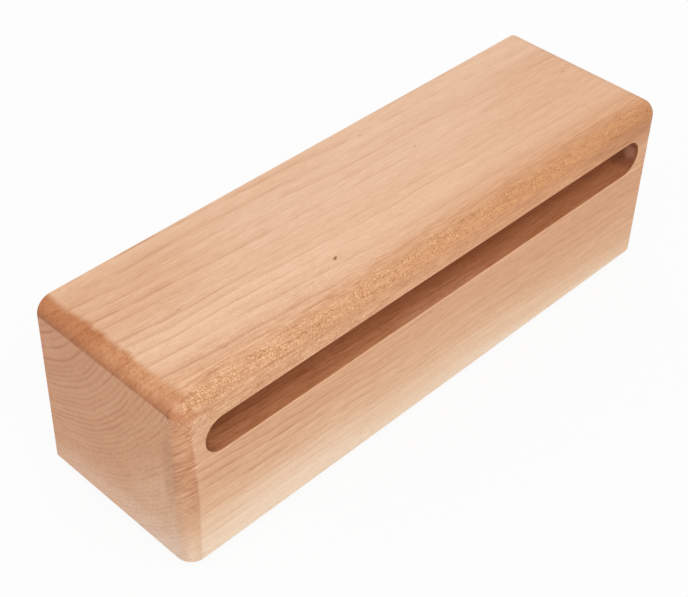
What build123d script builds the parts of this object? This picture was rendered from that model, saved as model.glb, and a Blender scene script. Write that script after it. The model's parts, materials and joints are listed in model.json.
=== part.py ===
from build123d import *
import os

# Concert woodblock: one solid maple block with a routed slot, on four screwed-in rubber feet.
# The slot opens towards -Y, the length runs along X and +Z is up. The origin lies under the middle
# of the block, on the surface that the feet stand on. All sizes are in millimetres.

# Driving dimensions of the maple block
block_length = 210.0
block_depth = 61.5
block_height = 62.0
edge_round = 5.3  # roundover on the struck top and on the edges beside the slot
edge_ease = 0.8  # sanded edges of the back and of the underside

# Driving dimensions of the slot, a round-ended pocket behind the front face
slot_height = 12.7
slot_left_wall = 8.0  # wood left at the slot's left end
slot_right_wall = 9.0  # wood left at its right end
slot_roof = 10.5  # the struck plate above the slot
slot_back_wall = 14.0  # wood left behind the slot
slot_lip_ease = 0.2  # sanded lip round the mouth

# Driving dimensions of a pan-head screw
screw_core = 2.4
screw_reach = 10.0  # length held in the wood
screw_point = 2.2  # length of the tapered point
screw_tip = 0.5  # width of the blunt end of the point
screw_head_diameter = 5.6
screw_head_height = 1.9
screw_head_bevel = 0.7  # sloping rim of the head
driver_margin = 1.1  # head left round the cross recess
driver_blade = 0.8
driver_floor = 0.8  # metal left over the cross recess

# Driving dimensions of a washer and of a rubber foot
washer_rim = 0.7  # washer showing round the screw's head
washer_thickness = 0.6
foot_floor = 1.4  # rubber clamped by the washer
foot_wall = 1.95  # rubber round the cup, at the table
foot_flare = 0.65  # how much wider a foot is in the wood than at the table
foot_tread_bevel = 0.6
foot_let_in = 2.4  # how far a foot sits in its recess
foot_from_end = 24.0  # foot centre to the block's end
foot_from_side = 15.0  # foot centre to the block's front or back
head_setback = 0.9  # from the table up to the screw's head

# Clearances
recess_clearance = 0.1  # round a foot, to the wall of its recess
pilot_clearance = 0.03  # round a screw, to the wall of its pilot hole
pilot_spare = 1.5  # pilot hole left empty beyond the screw's point
shank_clearance = 0.3  # round a screw, to the bores of its foot and washer
cup_clearance = 0.25  # round a washer, to the cup in its foot

# Heights above the table, from the table up
head_bottom = head_setback
head_seat = head_bottom + screw_head_height
washer_seat = head_seat + washer_thickness
foot_height = washer_seat + foot_floor
block_bottom = foot_height - foot_let_in
block_top = block_bottom + block_height
slot_middle = block_top - slot_roof - slot_height / 2
screw_end = foot_height + screw_reach

# Widths and places worked out from the sizes above
slot_length = block_length - slot_left_wall - slot_right_wall
slot_centre = (slot_left_wall - slot_right_wall) / 2
slot_depth = block_depth - slot_back_wall
washer_radius = screw_head_diameter / 2 + washer_rim
cup_radius = washer_radius + cup_clearance
tread_radius = cup_radius + foot_wall
foot_radius = tread_radius + foot_flare
shank_bore = screw_core / 2 + shank_clearance
foot_x = block_length / 2 - foot_from_end
foot_y = block_depth / 2 - foot_from_side
foot_places = {
    "front_left": (-foot_x, -foot_y),
    "front_right": (foot_x, -foot_y),
    "back_left": (-foot_x, foot_y),
    "back_right": (foot_x, foot_y),
}


def upright(radius, bottom, top):
    """A plain cylinder about Z between two heights."""
    return Pos(0, 0, (bottom + top) / 2) * Cylinder(radius, top - bottom)


def rounded_blank():
    """The block before the slot is cut: five roundovers, and sanded edges at the back and below."""
    blank = Pos(0, 0, block_bottom + block_height / 2) * Box(block_length, block_depth, block_height)
    top = blank.faces().sort_by(Axis.Z)[-1]
    front = blank.faces().sort_by(Axis.Y)[0]
    struck_edges = top.edges().sort_by(Axis.Y)[:-1]
    blank = fillet(struck_edges + front.edges().filter_by(Axis.Z), edge_round)
    back = blank.faces().sort_by(Axis.Y)[-1]
    underside = blank.faces().sort_by(Axis.Z)[0]
    below = underside.edges().sort_by(Axis.Y)[:-1]
    return fillet(back.edges() + below, edge_ease)


def slot_cutter():
    """The round-ended pocket behind the front face."""
    mouth = Plane((slot_centre, -block_depth / 2, slot_middle), x_dir=(1, 0, 0), z_dir=(0, -1, 0))
    return extrude(mouth * SlotOverall(slot_length, slot_height), -slot_depth)


def foot_recess():
    """The flat recess that a foot sits in, with the pilot hole of its screw."""
    recess = upright(foot_radius + recess_clearance, 0, foot_height)
    return recess + upright(screw_core / 2 + pilot_clearance, 0, screw_end + pilot_spare)


def maple_block():
    """The solid maple block with its slot and the four recesses underneath."""
    block = rounded_blank() - slot_cutter()
    front = block.faces().filter_by(Axis.Y).sort_by(Axis.Y)[0]
    block = fillet(front.inner_wires()[0].edges(), slot_lip_ease)
    for x, y in foot_places.values():
        block -= Pos(x, y, 0) * foot_recess()
    return block


def rubber_foot():
    """A moulded foot that narrows to its tread, with a cup below for the washer and the screw's head."""
    outline = Polyline(
        (0, 0),
        (tread_radius, 0),
        (foot_radius, block_bottom),
        (foot_radius, foot_height),
        (0, foot_height),
        close=True,
    )
    foot = revolve(Plane.XZ * make_face(outline), Axis.Z)
    foot = chamfer(foot.faces().sort_by(Axis.Z)[0].edges(), foot_tread_bevel)
    return foot - upright(cup_radius, 0, washer_seat) - upright(shank_bore, 0, foot_height)


def steel_washer():
    """A flat washer that bears on the floor of the foot's cup."""
    return upright(washer_radius, head_seat, washer_seat) - upright(shank_bore, head_seat, washer_seat)


def pan_head_screw():
    """A pan-head wood screw with a cross recess, driven upwards through the washer and the foot."""
    head = upright(screw_head_diameter / 2, head_bottom, head_seat)
    head = chamfer(head.faces().sort_by(Axis.Z)[0].edges(), screw_head_bevel)
    shank = upright(screw_core / 2, head_seat, screw_end - screw_point)
    point = Pos(0, 0, screw_end - screw_point / 2) * Cone(screw_core / 2, screw_tip / 2, screw_point)
    driver_span = screw_head_diameter - 2 * driver_margin
    driver_depth = screw_head_height - driver_floor
    blade = Pos(0, 0, head_bottom + driver_depth / 2) * Box(driver_span, driver_blade, driver_depth)
    return head + shank + point - blade - Rot(0, 0, 90) * blade


def at_every_foot(piece):
    """Copies of one piece at the four feet, as separate solids of one group."""
    return Compound([Pos(x, y, 0) * piece for x, y in foot_places.values()])


os.makedirs("parts", exist_ok=True)
export_step(maple_block(), "parts/maple_block.step")
for place, (x, y) in foot_places.items():
    export_step(Pos(x, y, 0) * rubber_foot(), f"parts/rubber_foot_{place}.step")
export_step(at_every_foot(steel_washer()), "parts/foot_washers.step")
export_step(at_every_foot(pan_head_screw()), "parts/foot_screws.step")
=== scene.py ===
"""Looks of the woodblock: a figured maple body on rubber feet that zinc-plated screws hold.

Shapes are in metres in the part's frame: X runs along the block, the slot faces -Y, +Z is up and
the feet stand on Z = 0. The wood's figure is written in millimetres of the same frame.
"""

import json
import logging
import math
from dataclasses import dataclass, fields
from enum import Enum
from functools import partial, reduce
from typing import ClassVar, Sequence, Union

import bmesh
import bpy
from mathutils import Matrix, Quaternion, Vector


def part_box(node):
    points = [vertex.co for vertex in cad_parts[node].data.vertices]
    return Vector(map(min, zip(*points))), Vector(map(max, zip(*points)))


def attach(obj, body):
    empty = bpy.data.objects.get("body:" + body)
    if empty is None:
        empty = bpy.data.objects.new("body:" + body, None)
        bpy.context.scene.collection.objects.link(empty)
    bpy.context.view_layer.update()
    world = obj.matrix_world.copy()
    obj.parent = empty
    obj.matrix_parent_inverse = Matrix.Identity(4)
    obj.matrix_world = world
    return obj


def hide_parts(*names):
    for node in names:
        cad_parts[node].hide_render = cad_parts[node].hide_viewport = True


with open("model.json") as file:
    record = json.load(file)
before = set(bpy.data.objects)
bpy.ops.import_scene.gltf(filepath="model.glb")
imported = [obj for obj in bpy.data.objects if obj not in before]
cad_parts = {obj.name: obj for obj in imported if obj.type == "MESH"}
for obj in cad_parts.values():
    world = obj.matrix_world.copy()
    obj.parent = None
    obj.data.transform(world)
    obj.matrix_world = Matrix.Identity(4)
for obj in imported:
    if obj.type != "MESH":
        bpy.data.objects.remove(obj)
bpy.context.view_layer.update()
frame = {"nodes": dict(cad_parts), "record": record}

log = logging.getLogger("woodblock")

MM = 0.001
BODY = "root"
WOOD = "maple_block"
CREASE = math.radians(35)
WELD = 0.001 * MM
WHITE = (1.0, 1.0, 1.0, 1.0)
LOG_PLACE = ("Along", "Radius", "Around")

# The span that most noise lies in
MOST_NOISE = (0.2, 0.8)

Socket = bpy.types.NodeSocket
Inputs = bpy.types.NodeInputs
Outputs = bpy.types.NodeOutputs
Pair = tuple[float, float]
Point = tuple[float, float, float]
Colour = tuple[float, float, float, float]
Tone = tuple[float, Colour]
Value = Union[bool, int, float, Point, Colour, Socket]
Feeds = dict[Union[str, int], Value]

# A fade holds the numbers that it goes between, and then its levels there if they aren't 0 and 1
Fade = tuple[float, ...]


def paint(red: int, green: int, blue: int) -> Colour:
    """Turns screen levels from 0 to 255 into the linear colour that shaders take.

    Args:
        red: Red level on the screen.
        green: Green level on the screen.
        blue: Blue level on the screen.

    Returns:
        The linear colour, opaque.
    """

    def channel(level: int) -> float:
        """Undoes the screen's curve for one level."""
        share = level / 255
        return share / 12.92 if share <= 0.04045 else ((share + 0.055) / 1.055) ** 2.4

    return (channel(red), channel(green), channel(blue), 1.0)


def numbers(*names: str) -> dict[str, str]:
    """Lists sockets that hold plain numbers."""
    return dict.fromkeys(names, "Float")


class TreeKind(Enum):
    """What a node group is for."""

    SHADER = "ShaderNodeTree"
    GEOMETRY = "GeometryNodeTree"


class NodeSketch:
    """Adds and joins the nodes of one tree with short calls."""

    source: Outputs
    sink: Inputs
    red_power: ClassVar[float] = 0.6
    blue_power: ClassVar[float] = 1.35

    def __init__(self, tree: bpy.types.NodeTree) -> None:
        """Keeps the tree that the nodes go into."""
        self.tree = tree

    @classmethod
    def group(
        cls, name: str, kind: TreeKind, inputs: dict[str, str], outputs: dict[str, str]
    ) -> "NodeSketch":
        """Starts a node group with named sockets.

        Args:
            name: The group's name.
            kind: What the group is for.
            inputs: Socket kinds by name, such as Float or Vector.
            outputs: Socket kinds by name.

        Returns:
            A sketch of the new tree, with its input and output nodes in place.
        """
        tree = bpy.data.node_groups.new(name, kind.value)
        for side, sockets in (("INPUT", inputs), ("OUTPUT", outputs)):
            for label, socket in sockets.items():
                tree.interface.new_socket(name=label, in_out=side, socket_type=f"NodeSocket{socket}")
        sketch = cls(tree)
        sketch.source = sketch.node("NodeGroupInput").outputs
        sketch.sink = sketch.node("NodeGroupOutput").inputs
        return sketch

    @classmethod
    def material(cls, name: str) -> tuple[bpy.types.Material, "NodeSketch"]:
        """Starts an empty material.

        Args:
            name: The material's name.

        Returns:
            The material and a sketch of its nodes.
        """
        made = bpy.data.materials.new(name)
        made.use_nodes = True
        made.node_tree.nodes.clear()
        return made, cls(made.node_tree)

    def node(self, kind: str, **settings: object) -> bpy.types.Node:
        """Adds a node.

        Args:
            kind: The node's type.
            settings: Its plain properties.

        Returns:
            The new node.
        """
        made = self.tree.nodes.new(kind)
        for name, value in settings.items():
            setattr(made, name, value)
        return made

    def feed(self, socket: Socket, value: Value) -> None:
        """Links a socket to another one, or sets its plain value.

        Args:
            socket: The input to feed.
            value: A socket to link it to, or its value.
        """
        if isinstance(value, Socket):
            self.tree.links.new(value, socket)
        else:
            socket.default_value = value

    def wired(self, kind: str, values: Feeds, **settings: object) -> Outputs:
        """Adds a node and feeds its inputs.

        Args:
            kind: The node's type.
            values: Plain values or sockets, by the input's name or number.
            settings: The node's plain properties.

        Returns:
            The node's outputs.
        """
        made = self.node(kind, **settings)
        for name, value in values.items():
            self.feed(made.inputs[name], value)
        return made.outputs

    def math(self, operation: str, *values: Value) -> Socket:
        """Adds a sum, product or other function of numbers."""
        return self.wired("ShaderNodeMath", dict(enumerate(values)), operation=operation)[0]

    def product(self, *values: Value) -> Socket:
        """Multiplies numbers together."""
        return reduce(partial(self.math, "MULTIPLY"), values)

    def plus(self, *values: Value) -> Socket:
        """Adds numbers together."""
        return reduce(partial(self.math, "ADD"), values)

    def minus(self, first: Value, second: Value) -> Socket:
        """Takes the second number from the first."""
        return self.math("SUBTRACT", first, second)

    def ramp(self, value: Value, low: Value, high: Value, start: Value = 0.0, end: Value = 1.0) -> Socket:
        """Eases from start to end while the value goes from low to high."""
        ends = {"Value": value, "From Min": low, "From Max": high, "To Min": start, "To Max": end}
        return self.wired("ShaderNodeMapRange", ends, interpolation_type="SMOOTHSTEP")[0]

    def eased(self, share: Value, start: Value, end: Value) -> Socket:
        """Eases from start to end while a share goes from 0 to 1."""
        return self.ramp(share, 0.0, 1.0, start, end)

    def vary(self, noise: Socket, contrast: Value) -> Socket:
        """Turns noise into a level about 1 that varies by the contrast from end to end."""
        return self.plus(self.product(self.ramp(noise, *MOST_NOISE, -0.5, 0.5), contrast), 1.0)

    def swing(self, noise: Socket, reach: Value) -> Socket:
        """Turns noise into a shift to either side of nothing."""
        return self.product(self.minus(noise, 0.5), reach)

    def vector(self, x: Value, y: Value, z: Value) -> Socket:
        """Joins three numbers into a vector."""
        return self.wired("ShaderNodeCombineXYZ", {"X": x, "Y": y, "Z": z})[0]

    def split(self, vector: Socket) -> tuple[Socket, Socket, Socket]:
        """Takes a vector apart."""
        parts = self.wired("ShaderNodeSeparateXYZ", {"Vector": vector})
        return parts["X"], parts["Y"], parts["Z"]

    def scaled(self, vector: Socket, factor: Value) -> Socket:
        """Multiplies a vector by a number."""
        return self.wired("ShaderNodeVectorMath", {"Vector": vector, "Scale": factor}, operation="SCALE")[0]

    def stretched(self, axes: Sequence[Socket], rates: Sequence[float]) -> Socket:
        """Scales each of three numbers by its own rate and joins them into a vector."""
        return self.vector(*(self.product(axis, rate) for axis, rate in zip(axes, rates)))

    def noise(self, vector: Socket, detail: float = 2.0, roughness: float = 0.5) -> Socket:
        """Adds smooth noise with features about one unit across, from 0 to 1."""
        values = {"Vector": vector, "Scale": 1.0, "Detail": detail, "Roughness": roughness}
        return self.wired("ShaderNodeTexNoise", values, noise_dimensions="3D")[0]

    def chance(self, number: Value) -> Socket:
        """Gives each number a level of its own from 0 to 1."""
        return self.wired("ShaderNodeTexWhiteNoise", {"W": number}, noise_dimensions="1D")["Value"]

    def cells(self, vector: Socket, feature: str) -> Outputs:
        """Adds a flat pattern of cells about one unit across."""
        values = {"Vector": vector, "Scale": 1.0}
        return self.wired("ShaderNodeTexVoronoi", values, voronoi_dimensions="2D", feature=feature)

    def mix(self, share: Value, first: Value, second: Value, blend: str = "MIX") -> Socket:
        """Mixes two colours.

        Args:
            share: How far the second colour comes in, from 0 to 1.
            first: The first colour.
            second: The second colour.
            blend: How the second one acts on the first.

        Returns:
            The mixed colour.
        """
        made = self.node("ShaderNodeMix", data_type="RGBA", blend_type=blend)
        named = {socket.identifier: socket for socket in (*made.inputs, *made.outputs)}
        self.feed(named["Factor_Float"], share)
        self.feed(named["A_Color"], first)
        self.feed(named["B_Color"], second)
        return named["Result_Color"]

    def tint(self, share: Value, colour: Socket, shift: Value) -> Socket:
        """Multiplies a colour by a shift, as far as the share says."""
        return self.mix(share, colour, shift, blend="MULTIPLY")

    def warmed(self, colour: Socket, level: Socket) -> Socket:
        """Lightens or darkens a colour, so that what is darker is redder too."""
        red, blue = (self.math("POWER", level, power) for power in (self.red_power, self.blue_power))
        return self.tint(1.0, colour, self.vector(red, level, blue))

    def tones(self, value: Socket, stops: Sequence[Tone]) -> Socket:
        """Eases from colour to colour as a number grows.

        Args:
            value: The number.
            stops: The number and the colour of each stop, in rising order.

        Returns:
            The colour.
        """
        first, last = stops[0][0], stops[-1][0]
        scale = self.node("ShaderNodeValToRGB")
        scale.color_ramp.interpolation = "EASE"
        elements = scale.color_ramp.elements
        elements[0].color = stops[0][1]
        elements[-1].color = stops[-1][1]
        for place, colour in stops[1:-1]:
            elements.new((place - first) / (last - first)).color = colour
        self.feed(scale.inputs[0], self.math("DIVIDE", self.minus(value, first), last - first))
        return scale.outputs["Color"]

    def levels(self, value: Socket, stops: Sequence[Pair]) -> Socket:
        """Eases from level to level, between 0 and 1, as a number grows."""
        return self.tones(value, [(place, (level, level, level, 1.0)) for place, level in stops])

    def use(self, group: bpy.types.NodeTree, values: Feeds) -> Outputs:
        """Places a shader group and feeds its inputs by name."""
        return self.wired("ShaderNodeGroup", values, node_tree=group)

    def relief(self, strength: float, depth: float, height: Socket) -> Socket:
        """Turns heights from 0 to 1 into the normals of a fine relief."""
        values = {"Strength": strength, "Distance": depth, "Height": height}
        return self.wired("ShaderNodeBump", values)["Normal"]

    def surface(self, values: Feeds) -> None:
        """Ends a material in one shader with the given inputs."""
        shader = self.wired("ShaderNodeBsdfPrincipled", values)
        self.wired("ShaderNodeOutputMaterial", {"Surface": shader["BSDF"]})


@dataclass(frozen=True)
class YearLine:
    """The dark line of late wood that ends each year, and the breaks in it.

    A year runs from 0 to 1. The line darkens from each of its starts up to its peak, and is gone by the
    year's end. Each year has its own vigour.
    """

    starts: Sequence[float]
    peak: float
    fall: float
    break_rates: Point
    faintest: float
    breaks: Fade = (0.34, 0.6)
    least_vigour: float = 0.45

    def drawn(self, sketch: NodeSketch, years: Socket) -> Socket:
        """Draws the line in a group that takes a place in the log.

        Args:
            sketch: The group's nodes.
            years: How many years old the tree was at each place.

        Returns:
            The line's strength, from 0 to 1.
        """
        season = sketch.math("FRACT", years)
        year = sketch.math("FLOOR", years)
        share = 1 / len(self.starts)
        rises = [sketch.ramp(season, start, self.peak, 0.0, share) for start in self.starts]
        late = sketch.product(sketch.plus(*rises), sketch.ramp(season, 1.0, self.fall))
        vigour = sketch.eased(sketch.chance(year), self.least_vigour, 1.0)
        place = (sketch.source["Along"], year, sketch.source["Around"])
        stretches = sketch.noise(sketch.stretched(place, self.break_rates))
        return sketch.product(late, vigour, sketch.ramp(stretches, *self.breaks, self.faintest, 1.0))


BOARD_LINE = YearLine(starts=(0.2, 0.7), peak=0.92, fall=0.94, break_rates=(0.055, 5.3, 0.05), faintest=0.2)
END_LINE = YearLine(starts=(0.4,), peak=0.85, fall=0.86, break_rates=(0.05, 5.3, 0.09), faintest=0.35)


class SharedEffects:
    """Shader groups that more than one finish is made from, each built once."""

    def __init__(self) -> None:
        """Builds every group."""
        self.log_axes = self._log_axes()
        self.growth_rings = self._growth_rings()
        self.fibre = self._fibre()
        self.rays = self._rays()
        self.mottle = self._mottle()

    @classmethod
    def _log_axes(cls) -> bpy.types.NodeTree:
        """Turns a place on the block into a place in the log that it was cut from.

        Returns:
            A group that gives the place in millimetres, the distance along the log, out from its pith and
            round it, and from 0 to 1 how nearly the surface lies along the log's rays.
        """
        sketch = NodeSketch.group(
            "log_axes",
            TreeKind.SHADER,
            {"Position": "Vector", "Normal": "Vector",
             **numbers("Pith Y", "Pith Z", "Lean", "Wander", "Ripple", "Ray Tilt")},
            {"Place": "Vector", **numbers(*LOG_PLACE, "Quarter Sawn")},
        )
        source, sink = sketch.source, sketch.sink
        place = sketch.scaled(source["Position"], 1 / MM)
        x, y, z = sketch.split(place)
        tilt = sketch.product(x, source["Lean"])
        behind = sketch.minus(sketch.plus(source["Pith Y"], tilt), y)
        below = sketch.minus(sketch.plus(source["Pith Z"], tilt), z)
        radius = sketch.math("SQRT", sketch.plus(*(sketch.product(side, side) for side in (behind, below))))
        slow_rates = (0.008, 0.02, 0.02)
        quick_rates = (0.03, 0.045, 0.045)
        slow = sketch.swing(sketch.noise(sketch.stretched((x, y, z), slow_rates)), source["Wander"])
        quick = sketch.swing(sketch.noise(sketch.stretched((x, y, z), quick_rates)), source["Ripple"])
        mean_radius = 90.0
        sketch.feed(sink["Place"], place)
        sketch.feed(sink["Along"], x)
        sketch.feed(sink["Radius"], sketch.plus(radius, sketch.plus(slow, quick)))
        sketch.feed(sink["Around"], sketch.product(sketch.math("ARCTAN2", behind, below), mean_radius))
        sketch.feed(sink["Quarter Sawn"], cls._quarter_sawn(sketch, place, (behind, below), radius))
        return sketch.tree

    @staticmethod
    def _quarter_sawn(
        sketch: NodeSketch, place: Socket, from_pith: tuple[Socket, Socket], radius: Socket
    ) -> Socket:
        """Finds where the surface lies along the rays, so that it shows them as flecks.

        Args:
            sketch: The nodes of the group of log axes.
            place: The place in millimetres.
            from_pith: How far the place lies before the pith and below it.
            radius: The distance from the pith.

        Returns:
            How quarter sawn the surface is, from 0 to 1.
        """
        ragged_rates = (0.25, 0.8, 0.8)
        raggedness = 0.3
        full_facing = 0.2
        narrower_rightwards = (-60.0, 50.0, 1.0, 0.8)
        off_the_ends = (0.8, 0.4)
        inner_wood = (110.0, 103.0)
        calmer_behind = (5.0, 25.0, 1.0, 0.45)
        x, y, z = sketch.split(place)
        behind, below = from_pith
        end_on, sideways, upward = sketch.split(sketch.source["Normal"])
        outward = sketch.plus(sketch.product(behind, sideways), sketch.product(below, upward))
        facing = sketch.plus(sketch.math("DIVIDE", outward, radius), sketch.source["Ray Tilt"])
        ragged = sketch.swing(sketch.noise(sketch.stretched((x, y, z), ragged_rates)), raggedness)
        widest = sketch.ramp(x, *narrower_rightwards)
        return sketch.product(
            sketch.ramp(sketch.plus(sketch.math("ABSOLUTE", facing), ragged), widest, full_facing),
            sketch.ramp(sketch.math("ABSOLUTE", end_on), *off_the_ends),
            sketch.ramp(radius, *inner_wood),
            sketch.ramp(y, *calmer_behind),
        )

    @staticmethod
    def _growth_rings() -> bpy.types.NodeTree:
        """Draws the dark late wood at the end of each year's growth.

        Returns:
            A group with the line's strength as it comes and goes along a board, its even strength across a
            cut end, and each year's own tone, all from 0 to 1.
        """
        sketch = NodeSketch.group(
            "growth_rings",
            TreeKind.SHADER,
            numbers(*LOG_PLACE, "Density", "Narrowing", "Unevenness"),
            numbers("Line", "Even Line", "Tone"),
        )
        spread_rate = 0.17
        spread_seed = 3.7
        closer = 1.6
        tone_seed = 0.5
        source, sink = sketch.source, sketch.sink
        along_radius = sketch.vector(0.0, sketch.product(source["Radius"], spread_rate), spread_seed)
        spread = sketch.swing(sketch.noise(along_radius, detail=1.0), source["Unevenness"])
        radius = sketch.plus(source["Radius"], spread)
        years = sketch.product(sketch.math("POWER", radius, source["Narrowing"]), source["Density"])
        sketch.feed(sink["Line"], BOARD_LINE.drawn(sketch, years))
        sketch.feed(sink["Even Line"], END_LINE.drawn(sketch, sketch.product(years, closer)))
        sketch.feed(sink["Tone"], sketch.chance(sketch.plus(sketch.math("FLOOR", years), tone_seed)))
        return sketch.tree

    @staticmethod
    def _fibre() -> bpy.types.NodeTree:
        """Draws fine fibres and broad streaks along the grain.

        Returns:
            A group with both, each about 0.5 on average.
        """
        sketch = NodeSketch.group("fibre", TreeKind.SHADER, numbers(*LOG_PLACE), numbers("Fine", "Broad"))
        axes = [sketch.source[name] for name in LOG_PLACE]
        for output, rates, detail, roughness in (
            ("Fine", (0.12, 1.9, 1.9), 3.0, 0.6),
            ("Broad", (0.014, 0.3, 0.12), 2.0, 0.55),
        ):
            sketch.feed(sketch.sink[output], sketch.noise(sketch.stretched(axes, rates), detail, roughness))
        return sketch.tree

    @staticmethod
    def _rays() -> bpy.types.NodeTree:
        """Draws the rays, thin plates that run out from the pith.

        Returns:
            A group with the dashes that they show end on, the spokes that they show on a cut end, and the
            bright plates with dark outlines that they show where a face lies along them, each from 0 to 1.
        """
        outputs = numbers("Dashes", "Spokes", "Plates", "Outlines")
        sketch = NodeSketch.group("rays", TreeKind.SHADER, numbers(*LOG_PLACE), outputs)
        axes = [sketch.source[name] for name in LOG_PLACE]
        along, radius, _ = axes
        for output, rates, detail, limits in (
            ("Dashes", (0.6, 0.3, 2.6), 1.0, (0.56, 0.72)),
            ("Spokes", (0.2, 0.4, 1.5), 2.0, (0.48, 0.7)),
        ):
            streaks = sketch.noise(sketch.stretched(axes, rates), detail)
            sketch.feed(sketch.sink[output], sketch.ramp(streaks, *limits))
        bend, sway = (
            sketch.swing(sketch.noise(sketch.stretched(axes, rates)), reach)
            for rates, reach in (((0.6, 0.6, 0.1), 3.0), ((0.8, 0.5, 0.1), 2.8))
        )
        along_rate = 1.1
        radius_rate = 1.2
        flat = sketch.vector(
            sketch.plus(sketch.product(along, along_rate), bend),
            sketch.plus(sketch.product(radius, radius_rate), sway),
            0.0,
        )
        cluster_rates = (0.12, 0.4, 0.02)
        clustered = (0.35, 0.62, 0.5, 1.0)
        cluster = sketch.ramp(sketch.noise(sketch.stretched(axes, cluster_rates)), *clustered)
        shade, _, _ = sketch.split(sketch.cells(flat, "F1")["Color"])
        edge = sketch.cells(flat, "DISTANCE_TO_EDGE")["Distance"]
        for output, value, limits in (("Plates", shade, (0.05, 0.5)), ("Outlines", edge, (0.19, 0.02))):
            sketch.feed(sketch.sink[output], sketch.product(sketch.ramp(value, *limits), cluster))
        return sketch.tree

    @staticmethod
    def _mottle() -> bpy.types.NodeTree:
        """Draws the uneven skin of a moulded or plated piece.

        Returns:
            A group with cloudy patches and fine grains, each about 0.5 on average.
        """
        inputs = {"Position": "Vector", **numbers("Patch Size", "Grain Size")}
        sketch = NodeSketch.group("surface_mottle", TreeKind.SHADER, inputs, numbers("Patches", "Grains"))
        roughness = 0.6
        for output, size, detail in (("Patches", "Patch Size", 3.0), ("Grains", "Grain Size", 2.0)):
            rate = sketch.math("DIVIDE", 1.0, sketch.source[size])
            fitted = sketch.scaled(sketch.source["Position"], rate)
            sketch.feed(sketch.sink[output], sketch.noise(fitted, detail, roughness))
        return sketch.tree


@dataclass(frozen=True)
class LogFigure:
    """How the block lay in its log and how its figure changes, in millimetres of the part's frame.

    The fades go along X, apart from end_rings and inner_dashes, which go out from the pith.
    """

    pith_y: float = 58.0
    pith_z: float = 103.0
    lean: float = -0.026
    wander: float = 7.0
    ripple: float = 2.4
    ring_density: float = 0.00805
    ring_narrowing: float = 1.737
    ring_unevenness: float = 2.6
    tone_wander: float = 6.0
    ray_tilt: float = 0.27
    strength: Sequence[Pair] = (
        (50.0, 0.9), (66.0, 0.85), (84.0, 0.6), (88.0, 0.85), (98.0, 1.0), (121.0, 1.0), (130.0, 0.35),
    )
    strength_fade: Fade = (-85.0, 5.0, 1.0, 0.8)
    ring_fade: Fade = (-85.0, 5.0, 0.9, 0.5)
    end_rings: Fade = (85.0, 110.0, 0.75, 0.4)
    burnished_rings: float = 0.4
    inner_dashes: Fade = (90.0, 99.0, 0.65, 1.0)
    outline_fade: Fade = (-60.0, 60.0, 1.0, 0.75)
    plate_fade: Fade = (-60.0, 90.0, 1.0, 0.7)


@dataclass(frozen=True)
class EdgeWear:
    """How the block's roundovers and struck edge were burnished, scorched and worn, with the painted shade
    at the foot of the top's roundover and the heights of the painted highlights on the slot's lips, in
    millimetres.

    The fades go by the distance past the start of a roundover, or by what their names say: a height, the
    sides, the way to the back, or the strength of blotches and bands. The detail of a pattern holds its
    number of octaves and its roughness.
    """

    far_share: float = 0.1
    sides: Fade = (-1.0, 1.0)
    lobe_rate: float = 0.24
    lobe_seed: float = 7.3
    lobe_fray: float = 3.0
    fibre_fray: float = 1.5
    back_retreat: Fade = (12.0, 26.0, 0.0, -0.9)
    back_edge: Fade = (-0.1, -0.7)
    top_start: Fade = (-0.9, 1.7)
    top_foot: Fade = (-0.25, -0.1)
    front_start: Fade = (-0.3, 1.5)
    front_end: Fade = (5.2, 2.4, 0.45, 0.78)
    front_height: Fade = (3.0, 32.0, 0.45, 1.0)
    inner_line_height: Fade = (25.0, 55.0, 0.3, 1.35)
    inner_line: Fade = (-0.3, 0.7)
    # Where the scorch and the painted shade at the foot of the top's roundover fade in.
    scorch_shade_rise: Fade = (4.4, 0.0)
    scorch_front: Fade = (1.5, 0.0)
    blotch_rate: float = 0.3
    blotch_detail: Pair = (3.0, 0.6)
    blotches: Fade = (0.4, 0.65, 0.0, 0.32)
    fibre_bands: Fade = (0.47, 0.6, 0.0, 0.6)
    year_bands: Fade = (0.4, 0.9, 0.0, 0.22)
    struck_front: Fade = (-5.7, -0.7)
    struck_top: Fade = (-5.7, -2.7)
    struck_flecks: float = 0.3
    struck_fibres: float = 2.4
    stroke_edge: Fade = (-0.5, 1.5)
    stroke_base_height: Fade = (14.0, 38.0)
    stroke_top_height: Fade = (60.0, 55.0)
    stroke_climb: float = 0.95
    stroke_rates: Point = (0.15, 2.0, 0.15)
    stroke_detail: Pair = (2.0, 0.6)
    stroke_contrast: float = 0.85
    # Heights of the slot's lips, where the painted highlights run.
    lip_bottom: float = 41.1
    lip_top: float = 54.0


class Working(Enum):
    """How a face of the maple was worked."""

    SANDED = "maple_sanded"
    ROUTED = "maple_routed"


@dataclass(frozen=True)
class MapleFinish:
    """Colours and surface of the maple after one way of working it.

    The tones go by the distance from the pith in millimetres. The tints multiply what is under them. The end
    grain comes in as the face turns to an end. The roughness has its least and its most.
    """

    working: Working
    long_grain: Sequence[Tone]
    end_grain: Sequence[Tone]
    end_turn: Fade
    late_wood: Colour
    ray_shadow: Colour
    ray_sheen: Colour
    streak_contrast: float
    year_contrast: float
    fibre_contrast: float
    dash_share: float
    spoke_share: float
    roughness: Pair
    bump: float
    burnished: Sequence[Tone] = ()
    burnish_gloss: float = 0.06
    fleck_gloss: float = 0.1
    ring_groove: float = 0.4
    relief_depth: float = 0.15 * MM
    specular: float = 0.25


@dataclass(frozen=True)
class Mark:
    """One small patch of tint on the wood, a natural mark or a patch of painted light or shade: its place
    and reach in millimetres, its strength and its tint.
    """

    place: Point
    reach: Point
    share: float
    tint: Colour
    fading: ClassVar[Fade] = (1.0, 0.3)


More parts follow.
